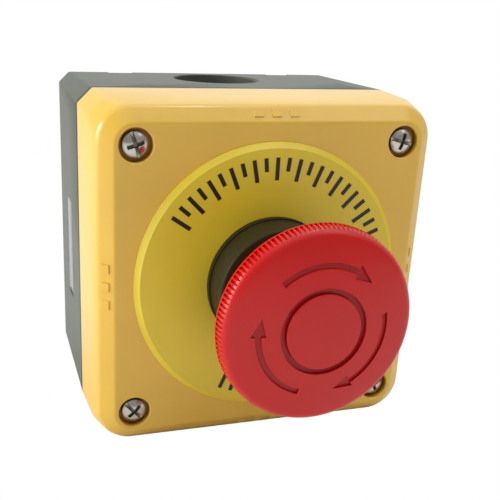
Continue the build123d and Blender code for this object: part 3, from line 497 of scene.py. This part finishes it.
cap_profile = []
for ring in range(cap_rings + 1):
    ring_radius = ring / cap_rings * (cap_radius - cap_edge)
    cap_profile.append((ring_radius, dome_depth(ring_radius)))
for step in range(1, cap_edge_steps + 1):
    turn = pi / 2 * step / cap_edge_steps
    cap_profile.append((cap_radius - cap_edge * (1 - sin(turn)),
                        dome_depth(cap_radius - cap_edge) - cap_edge * (1 - cos(turn))))
cap_profile.append((cap_radius, cap_rear))
cap_profile.append((cap_recess_radius, cap_rear))
cap_profile.append((cap_recess_radius, cap_rear + cap_recess))
cap_profile.append((0, cap_rear + cap_recess))
centre_cap = turned_piece("centre_cap_turned", "button", red_plastic, cap_profile)
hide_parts("centre_cap")


# Cover screws. Nickel-plated combination-head screws, sunk in counterbores at the cover's corners
# and turned into the inserts. The recesses of their heads are dull, with shade painted dark into them.
recess_painted_shade = (0.19, 0.165, 0.11)
screw_nickel = metal("nickel_plated_screws", nickel_colour, roughness=0.2, scratches=700.0)
paint_shade_in_hollows(screw_nickel, recess_painted_shade, reach=1.3 * mm, closed=0.5, open_air=0.92)
finish_node("cover_screws", screw_nickel)


# Floor. A plain white sheet that the box stands on. The camera sees it as pure white, and it throws
# light back at the box as white paper does.
floor_half = 3.0
floor_gap = 0.02 * mm
floor_white = (0.80, 0.80, 0.80)
paper_roughness = 0.9
floor_mesh = bmesh.new()
bmesh.ops.create_grid(floor_mesh, x_segments=1, y_segments=1, size=floor_half)
floor_data = bpy.data.meshes.new("floor")
floor_mesh.to_mesh(floor_data)
floor_mesh.free()
floor = bpy.data.objects.new("floor", floor_data)
bpy.context.scene.collection.objects.link(floor)
floor.location.z = cad_box[0].z - floor_gap


def white_to_camera(tree, seen_light, other_light, output):
    """Show the camera one kind of light and everything else another."""
    ray = add_node(tree, "ShaderNodeLightPath")
    choice = add_node(tree, "ShaderNodeMixShader")
    tree.links.new(ray.outputs["Is Camera Ray"], choice.inputs["Fac"])
    tree.links.new(other_light, choice.inputs[1])
    tree.links.new(seen_light, choice.inputs[2])
    tree.links.new(choice.outputs["Shader"], output.inputs["Surface"])


paper, paper_tree, paper_shader = new_material("white_paper")
paper_shader.inputs["Base Color"].default_value = (*floor_white, 1)
paper_shader.inputs["Roughness"].default_value = paper_roughness
pure_white = add_node(paper_tree, "ShaderNodeEmission", Color=(1, 1, 1, 1), Strength=1.0)
white_to_camera(paper_tree, pure_white.outputs["Emission"], paper_shader.outputs["BSDF"],
                paper_tree.nodes["Material Output"])
floor_data.materials.append(paper)


# Light. A white room that is brighter from above, from behind and from the upper right corner
# behind the box. Four soft lamps add a broad light on the left, one on the right, and two small
# ones, overhead and high on the left, for the highlights.
room_glow = 0.30
room_parts = (
    ((0.0, 0.0, 1.0), 1.07),
    ((0.0, 1.0, 0.0), 0.47),
    ((1.0, 1.0, 1.0), 0.87),
)
room_narrowness = 4.0
lamps = {
    "left_lamp": {"place": (-0.60, 0.02, 0.12), "aim": (0, -0.03, 0), "size": 0.45, "power": 2.9},
    "right_lamp": {"place": (0.24, -0.26, 0.36), "aim": (0, -0.05, 0), "size": 0.2, "power": 0.16},
    "top_lamp": {"place": (0.127, -0.094, 0.55), "aim": (0, -0.08, 0.02), "size": 0.03, "power": 0.15},
    "small_lamp": {"place": (-0.58, 0.075, 0.255), "aim": (0, -0.05, 0.02), "size": 0.035, "power": 0.45},
}
world = bpy.data.worlds.new("room")
bpy.context.scene.world = world
world.use_nodes = True
room = world.node_tree
room.nodes.clear()
way = add_node(room, "ShaderNodeTexCoord")
room_light = add_node(room, "ShaderNodeBackground", Color=(1, 1, 1, 1))
total = None
for direction, strength in room_parts:
    facing = add_node(room, "ShaderNodeVectorMath", operation="DOT_PRODUCT")
    facing.inputs[1].default_value = Vector(direction).normalized()
    room.links.new(way.outputs["Generated"], facing.inputs[0])
    front_only = add_node(room, "ShaderNodeMath", operation="MAXIMUM")
    front_only.inputs[1].default_value = 0.0
    room.links.new(facing.outputs["Value"], front_only.inputs[0])
    narrowed = add_node(room, "ShaderNodeMath", operation="POWER")
    narrowed.inputs[1].default_value = room_narrowness
    room.links.new(front_only.outputs["Value"], narrowed.inputs[0])
    added = add_node(room, "ShaderNodeMath", operation="MULTIPLY_ADD")
    added.inputs[1].default_value = strength
    room.links.new(narrowed.outputs["Value"], added.inputs[0])
    if total is None:
        added.inputs[2].default_value = room_glow
    else:
        room.links.new(total, added.inputs[2])
    total = added.outputs["Value"]
room.links.new(total, room_light.inputs["Strength"])
room_white = add_node(room, "ShaderNodeBackground", Color=(1, 1, 1, 1), Strength=1.0)
room_out = add_node(room, "ShaderNodeOutputWorld")
white_to_camera(room, room_white.outputs["Background"], room_light.outputs["Background"], room_out)
for name, lamp in lamps.items():
    data = bpy.data.lights.new(name, "AREA")
    data.size = lamp["size"]
    data.energy = lamp["power"]
    light = bpy.data.objects.new(name, data)
    bpy.context.scene.collection.objects.link(light)
    light.location = lamp["place"]
    to_aim = Vector(lamp["aim"]) - Vector(lamp["place"])
    light.rotation_euler = to_aim.to_track_quat("-Z", "Y").to_euler()


# Camera. It stands close to the box, to the left and a little above, as in the photograph; lens,
# place and angles were fitted to the outlines of the box, the plate and the button.
camera_lens = 63.357
camera_shift = 0.1485
camera_place = (-67.529, -226.186, 64.621)
camera_angles = (67.380, -3.189, -19.393)
nearest_seen = 0.01
farthest_seen = 20.0
camera_data = bpy.data.cameras.new("camera")
camera_data.sensor_width = 36.0
camera_data.lens = camera_lens
camera_data.shift_y = camera_shift
camera_data.clip_start = nearest_seen
camera_data.clip_end = farthest_seen
camera = bpy.data.objects.new("camera", camera_data)
bpy.context.scene.collection.objects.link(camera)
camera.location = Vector(camera_place) * mm
camera.rotation_euler = [radians(angle) for angle in camera_angles]
bpy.context.scene.camera = camera
bpy.context.scene.view_settings.view_transform = "Standard"
